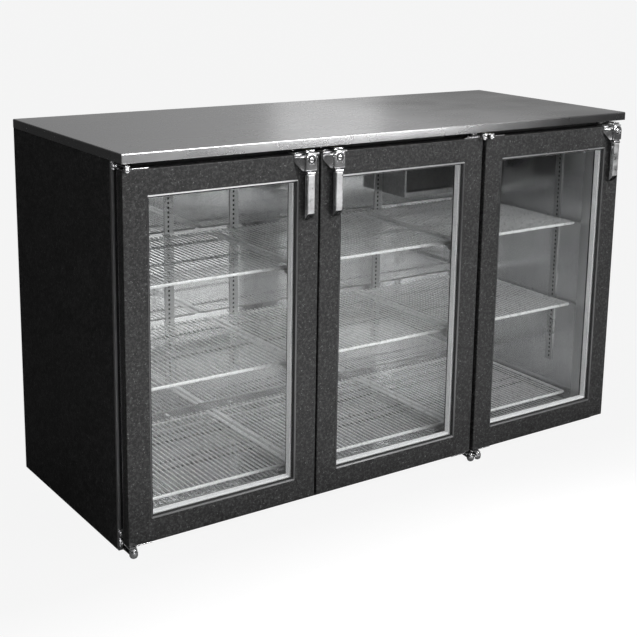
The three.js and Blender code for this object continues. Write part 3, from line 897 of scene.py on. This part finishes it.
def door(i):
    body = f"door_{i}"
    outer, window, front, back = door_outline(i)
    pan_back = front + 24
    trim, inside = 4.4, 10.3
    steps = [("o", 0.0, pan_back), ("o", 0.0, front + 2.6), ("o", 0.35, front + 1.2)]
    steps += [("o", 1.2, front + 0.35), ("o", 2.6, front)]
    steps += [("w", trim + 0.7, front), ("w", trim + 0.1, front + 0.3), ("w", trim, front + 0.9)]
    steps += [("w", trim, front + 8), ("w", inside, front + 8), ("w", inside, pan_back)]
    mesh = bmesh.new()
    frame_loop(mesh, outer, window, steps, 2.6)
    piece(f"door_pan_{i}", mesh, [black], body, [f"door_frame_{i}"], sharp=40)

    mesh = bmesh.new()
    steps = [("o", 4, pan_back), ("o", 4, back - 0.8), ("o", 4.8, back)]
    steps += [("w", 1.2, back), ("w", 0.4, back - 0.8), ("w", 0.4, back - 2)]
    steps += [("w", inside, back - 2), ("w", inside, pan_back)]
    frame_loop(mesh, outer, window, steps, 2.0)
    piece(f"door_inner_pan_{i}", mesh, [pan_steel], body, sharp=40)

    mesh = bmesh.new()
    steps = [("w", trim - 0.1, front + 0.7), ("w", trim - 0.4, front + 0.4)]
    steps += [("w", 0.5, front + 1.7), ("w", 0.0, front + 2.4), ("w", 0.0, front + 7.6)]
    steps += [("w", trim - 0.1, front + 7.6)]
    frame_loop(mesh, outer, window, steps, 1.0)
    mesh.normal_update()
    # The trim's sides and lower half take the dark copy of its steel: painted shade and painted
    # dark reflection; only the top stays bright.
    middle = (window[1][0] + window[1][1]) / 2 * MM
    for face in mesh.faces:
        if abs(face.normal.x) > 0.15 or face.calc_center_median().z < middle:
            face.material_index = 1
    piece(f"door_trim_{i}", mesh, [trim_steel, trim_painted_shade], body, sharp=30)

    glass_low, glass_high = limits(f"glass_unit_{i}")
    mesh = bmesh.new()
    steps = [("w", -3.0, front + 6.0), ("w", -2.0, front + 5.0), ("w", -0.1, front + 5.0)]
    steps += [("w", -0.1, glass_low.y - 0.05), ("w", -3.0, glass_low.y - 0.05)]
    frame_loop(mesh, outer, window, steps, 1.0)
    steps = [("w", 0.3, glass_high.y + 0.05), ("w", -3.0, glass_high.y + 0.05)]
    steps += [("w", -2.2, glass_high.y + 2.2), ("w", 0.3, back - 2.4)]
    frame_loop(mesh, outer, window, steps, 1.0)
    piece(f"glazing_seal_{i}", mesh, [dark_seal_and_painted_shade], body, sharp=30)

    unit = ((glass_low.x, glass_high.x), (glass_low.z, glass_high.z))
    pane = 4.0
    for name, a in (("front", glass_low.y), ("rear", glass_high.y - pane)):
        mesh = bmesh.new()
        steps = [(0.6, a), (0.0, a + 0.6), (0.0, a + pane - 0.6), (0.6, a + pane)]
        loft(mesh, rings_of(unit, steps, to_xz, 1.2, 2))
        replaced = [f"glass_unit_{i}"] if name == "front" else []
        piece(f"glass_{name}_{i}", mesh, [glass], body, replaced, sharp=25)
    mesh = bmesh.new()
    a, b = glass_low.y + pane, glass_high.y - pane
    steps = [(4.0, a + 0.15), (14.0, a + 0.15), (14.9, a + 1.2), (14.9, b - 1.2)]
    steps += [(14.0, b - 0.15), (4.0, b - 0.15)]
    loft(mesh, rings_of(unit, steps, to_xz, 1.0, 2), closed=True)
    piece(f"glass_spacer_{i}", mesh, [spacer_finish], body, sharp=25)

    low, high = limits(f"door_gasket_{i}")
    rect = ((low.x, high.x), (low.z, high.z))
    a, b = high.y, low.y
    steps = [(0, a), (14, a), (14, a - 1.8), (11.5, a - 3.2), (13.5, a - 5.0), (13.5, b)]
    steps += [(1.0, b), (1.0, a - 5.0), (2.8, a - 3.2), (0, a - 1.8)]
    mesh = bmesh.new()
    loft(mesh, rings_of(rect, steps, to_xz, 3.0, 3), closed=True)
    piece(f"door_gasket_bellows_{i}", mesh, [seal], body, [f"door_gasket_{i}"], sharp=40)


# ------------------------------------------------------------------------------------------
# Latches


def arch(centre_x, half, rise, crown, bottom, sides=20):
    """An arch-topped outline: half an ellipse above, straight sides below."""
    spring = crown - rise
    points = []
    for k in range(sides + 1):
        turn = math.pi * k / sides
        points.append((centre_x + half * math.cos(turn), spring + rise * math.sin(turn)))
    corner = min(1.6, (spring - bottom) * 0.3)
    points.append((centre_x - half, (spring + bottom) / 2))
    points += [(centre_x - half, bottom + corner), (centre_x - half + corner, bottom)]
    points.append((centre_x, bottom))
    points += [(centre_x + half - corner, bottom), (centre_x + half, bottom + corner)]
    points.append((centre_x + half, (spring + bottom) / 2))
    return points


def on_circle(outline, centre, radius):
    """The outline's points moved onto a circle, each along its own direction."""
    points = []
    for x, z in outline:
        away = Vector((x - centre[0], z - centre[1])).normalized()
        points.append((centre[0] + away.x * radius, centre[1] + away.y * radius))
    return points


def latch_housing(i):
    """A bell: a wide low foot on the door that narrows to an arch round the key cylinder."""
    low, high = limits(f"latch_body_{i}")
    lock_low, lock_high = limits(f"lock_cylinder_{i}")
    centre = (lock_low.x + lock_high.x) / 2
    height = (lock_low.z + lock_high.z) / 2
    face = limits(f"door_frame_{i}")[0].y
    front, bottom, crown = low.y, low.z, high.z
    half = crown - height
    axis = (centre, height)
    wing = (high.x - low.x) / 2
    foot = bottom + 21
    # how far from the door, half width, height of the arch, drop of the crown, lower edge
    shape = [(0.3, wing, 9.0, 3.6, foot), (1.8, wing - 0.4, 9.2, 3.5, foot - 2.4)]
    shape += [(4.0, 31.6, 9.8, 3.2, foot - 6.0), (7.0, 28.0, 11.0, 2.6, foot - 11.0)]
    shape += [(10.0, 24.2, 12.4, 1.9, foot - 16.5), (12.6, 21.0, 13.6, 1.2, bottom + 1.2)]
    shape += [(15.2, 18.2, 14.8, 0.5, bottom + 0.2), (17.6, 16.3, 15.5, 0.1, bottom)]
    shape += [(19.6, half, half, 0.0, bottom)]
    rings = []
    for off, width, rise, drop, lower in shape:
        outline = arch(centre, width, rise, crown - drop, lower)
        rings.append([(x, face - off, z) for x, z in outline])
    for depth, inset in ((front + 2.2, 0.0), (front + 0.9, 0.5), (front + 0.25, 1.3), (front, 2.3)):
        outline = arch(centre, half - inset, half - inset, crown - inset, bottom + inset)
        rings.append([(x, depth, z) for x, z in outline])
    radius = (lock_high.x - lock_low.x) / 2
    for reach, depth in ((2.2, front), (1.9, front + 0.8), (0.9, front + 0.8), (0.6, front + 0.3)):
        rings.append([(x, depth, z) for x, z in on_circle(outline, axis, radius + reach)])
    rings.append([(x, front + 0.6, z) for x, z in on_circle(outline, axis, radius + 0.35)])
    rings.append([(x, lock_high.y + 0.4, z) for x, z in on_circle(outline, axis, radius + 0.35)])
    mesh = bmesh.new()
    loft(mesh, rings)
    slots = bmesh.new()
    a, b = centre - 5.3, centre + 5.3
    block(slots, (a, face - 21.5, bottom - 8), (b, face - 4, bottom + 12.5))
    block(slots, (a - 0.05, face - 12.5, bottom - 9), (b + 0.05, face + 1, crown + 4))
    mesh = carved(mesh, slots)
    lug = 28.7
    for a, b in ((low.x, low.x + lug), (high.x - lug, high.x)):
        block(mesh, (a, face - 3, high.z - 6.9), (b, face, high.z - 3.4), 1)
    block(mesh, (low.x, face, high.z - 4.9), (high.x, high.y, high.z - 3.4), 1)
    for side in (-1, 1):
        screw(mesh, (centre + side * 23, high.y - 11, high.z - 3.4), (0, 0, 1), 4.2, 1.8)
    name = f"latch_housing_{i}"
    materials = [cast_chrome, satin_chrome]
    piece(name, mesh, materials, f"door_{i}", [f"latch_body_{i}"], sharp=42)


def latch_lever(i):
    low, high = limits(f"latch_lever_{i}")
    centre = (low.x + high.x) / 2
    front, back = low.y + 0.5, high.y - 1.5
    half, deep = 9.5, (back - front) / 2
    cut, grip_top = 16.0, 107.0
    mesh = bmesh.new()
    rings = []
    for z_front, z_back, inset in (
        (cut, 0.6, 0.6),
        (cut + 0.9, 1.5, 0.1),
        (cut + 2.0, 2.6, 0.0),
        (grip_top - 2.0, grip_top - 2.0, 0.0),
        (grip_top + 0.4, grip_top + 0.4, 0.9),
    ):
        ring = []
        for x, y in round_corners((centre - half, centre + half), (front, back), 2.2, 4):
            share = (y - front) / (back - front)
            x_in = centre + (x - centre) * (1 - inset / half)
            y_in = (front + back) / 2 + (y - (front + back) / 2) * (1 - inset / deep)
            ring.append((x_in, y_in, low.z + z_front + (z_back - z_front) * share))
        rings.append(ring)
    loft(mesh, rings, 1)
    bmesh.ops.recalc_face_normals(mesh, faces=mesh.faces)
    # The downward faces and the lower end cap take the dark finish: painted shade, where they would
    # otherwise mirror the bright floor.
    for face in mesh.faces:
        if face.normal.z < -0.2:
            face.material_index = 2
    painted_shade_cap = []
    inner = ((centre - half + 0.3, centre + half - 0.3), (front + 0.3, back - 0.3))
    for down in (0.0, 0.5):
        ring = []
        for x, y in round_corners(*inner, 2.0, 4):
            share = (y - front) / (back - front)
            ring.append((x, y, low.z + cut - down + 0.2 + (0.6 - cut) * share))
        painted_shade_cap.append(ring)
    loft(mesh, painted_shade_cap, 2)
    for side in (-1, 1):
        x = centre + side * half
        a, b = sorted((x - side * 0.5, x + side * 0.3))
        block(mesh, (a, front + 4.6, low.z + 26), (b, front + 8.6, low.z + 101))
    z = low.z + grip_top
    shoulder = ((low.x, high.x), (low.y, back))
    steps = [(1.6, z), (0.3, z + 1.2), (0.0, z + 2.4), (0.0, z + 5.4), (0.5, z + 6.6)]
    steps += [(1.4, z + 7.3)]
    loft(mesh, rings_of(shoulder, steps, to_xy, 3.4, 4))
    neck = ((centre - 4.8, centre + 4.8), (high.y - 10.5, high.y))
    steps = [(0.0, z + 6.5), (0.0, z + 20.6), (0.8, z + 21.4)]
    loft(mesh, rings_of(neck, steps, to_xy, 1.5, 3))
    arm = ((centre - 4.8, centre + 4.8), (high.y - 3, high.y))
    loft(mesh, rings_of(arm, [(0.0, z + 18), (0.0, high.z - 0.9), (0.9, high.z)], to_xy, 1.0, 3))
    pivot_y, pivot_z = high.y - 9.5, low.z + 124
    rod(mesh, (low.x, pivot_y, pivot_z), (high.x, pivot_y, pivot_z), 1.9, 12)
    name = f"latch_handle_{i}"
    materials = [cast_chrome, satin_chrome, dark_chrome_and_painted_shade]
    piece(name, mesh, materials, f"lever_{i}", [f"latch_lever_{i}"], sharp=40)


def latch_lock(i):
    low, high = limits(f"lock_cylinder_{i}")
    centre = Vector(((low.x + high.x) / 2, high.y, (low.z + high.z) / 2))
    radius = (high.x - low.x) / 2
    deep = high.y - low.y
    outward = (0, -1, 0)
    mesh = bmesh.new()
    profile = [(radius - 0.2, 0), (radius, 0.4), (radius, deep - 1.6), (radius - 0.5, deep - 0.9)]
    profile += [(radius - 1.3, deep - 0.7), (radius - 2.0, deep - 1.6), (radius - 2.2, deep - 2.6)]
    turned(mesh, centre, outward, profile, 32)
    plug = [(radius - 2.7, deep - 3.0), (radius - 2.7, deep - 1.7), (radius - 3.1, deep - 1.2)]
    plug += [(radius - 4.4, deep - 0.6), (radius - 6.4, deep - 0.2)]
    turned(mesh, centre, outward, plug, 24, 1)
    face, keyway = low.y, 3.4
    for a, b in ((-1.1, -0.5), (0.5, 1.1)):
        start = (centre.x + a, face + 0.05, centre.z - keyway)
        block(mesh, start, (centre.x + b, face + 1.4, centre.z + keyway), 1)
    name = f"latch_key_lock_{i}"
    materials = [dark_chrome_and_painted_shade, chrome]
    piece(name, mesh, materials, f"lock_{i}", [f"lock_cylinder_{i}"], bevel=0.15)


# ------------------------------------------------------------------------------------------
# Evaporator


def evaporator():
    low, high = limits("evaporator_coil")
    fins, rows, courses = 46, 3, 6
    mesh = bmesh.new()
    for k in range(fins):
        x = low.x + 6 + k * (high.x - low.x - 12) / (fins - 1)
        block(mesh, (x - 0.2, low.y + 2, low.z + 3), (x + 0.2, high.y - 4, high.z - 3))
    for course in range(courses):
        for row in range(rows):
            y, z = low.y + 16 + row * 25, low.z + 18 + course * 29
            rod(mesh, (low.x + 1, y, z), (high.x - 1, y, z), 4.8, 10, 1)
    piece("coil_fins", mesh, [fin_metal, copper], "cabinet", ["evaporator_coil"])


def fan_blades():
    low, high = limits("evaporator_fan")
    centre = joint_place("evaporator_fan_spin")
    radius, thick = (high.x - low.x) / 2, high.y - low.y
    mesh = bmesh.new()
    hub = [(0.4, 0), (11.0, 0.2), (13.0, 1.6), (13.4, 4.0), (13.4, thick - 0.4), (0.4, thick)]
    turned(mesh, (centre.x, high.y, centre.z), (0, -1, 0), hub, 28)
    blades, across, along = 5, 7, 8
    deep = thick / 2 - 1.0
    middle = (low.y + high.y) / 2
    for blade in range(blades):
        grids = []
        for side in (-0.55, 0.55):
            grid = []
            for r in range(along + 1):
                share = r / along
                reach = 12.0 + (radius - 12.6) * share
                chord = math.radians(50 - 8 * share)
                sweep = math.radians(16) * share * share
                row = []
                for c in range(across + 1):
                    part = c / across - 0.5
                    turn = blade * math.tau / blades + sweep + part * chord
                    pull = 1 - 0.10 * (2 * abs(part)) ** 3 * share
                    lift = math.sin(part * 2.4) / math.sin(1.2) * deep * (0.95 - 0.25 * share)
                    x = centre.x + reach * pull * math.cos(turn)
                    z = centre.z + reach * pull * math.sin(turn)
                    row.append((x, middle + lift + side, z))
                grid.append(row)
            grids.append(grid)
        rings = []
        for r in range(along + 1):
            rings.append(grids[0][r] + list(reversed(grids[1][r])))
        loft(mesh, rings)
    piece("fan_blades", mesh, [dark_plastic], "fan", ["evaporator_fan"], sharp=40)


def fan_guard():
    """Rings and spokes of wire over the fan's opening in the evaporator housing."""
    front = limits("evaporator_housing")[0].y
    centre = joint_place("evaporator_fan_spin")
    face = front - 1.2
    mesh = bmesh.new()
    for radius, bulge in ((15, 6.0), (25, 5.6), (35, 4.6), (45, 2.8), (54, 0.8)):
        at = (centre.x, face - bulge, centre.z)
        bent_rod(mesh, circle(at, (0, 1, 0), radius, 40), 1.0, 6, closed=True)
    for k in range(4):
        turn = math.radians(45 + 90 * k)
        away = Vector((math.cos(turn), 0, math.sin(turn)))
        path = []
        for radius, bulge in ((4, 4.4), (15, 4.2), (25, 3.8), (35, 2.8), (45, 1.0), (60, -0.2)):
            path.append(centre + away * radius + Vector((0, face - bulge - centre.y, 0)))
        bent_rod(mesh, path, 1.3, 6)
        at = centre + away * 60
        screw(mesh, (at.x, front, at.z), (0, -1, 0), 4.0, 2.6)
    hub = [(0.4, 3.0), (10.0, 3.2), (11.0, 4.2), (10.0, 5.6), (0.4, 6.2)]
    turned(mesh, (centre.x, face, centre.z), (0, -1, 0), hub, 24)
    piece("fan_guard", mesh, [dark_chrome_and_painted_shade], "cabinet")


countertop()
back_screws()
pilasters()
for level in LEVELS:
    for number in (1, 2, 3):
        shelf(level, number)
    shelf_supports(level)
hinges()
for i in DOORS:
    door(i)
    latch_housing(i)
    latch_lever(i)
    latch_lock(i)
evaporator()
fan_blades()
fan_guard()
dress("side_panel_left", black)
dress("side_panel_right", black)
dress("back_panel", zinc)
dress("base_pan", zinc)
dress("foam_core", foam_finish)
dress("inner_liner", liner)
dress("front_frame", frame_face())
dress("evaporator_housing", dark_sheet)
dress("fan_motor", dark_plastic)

set_stage()
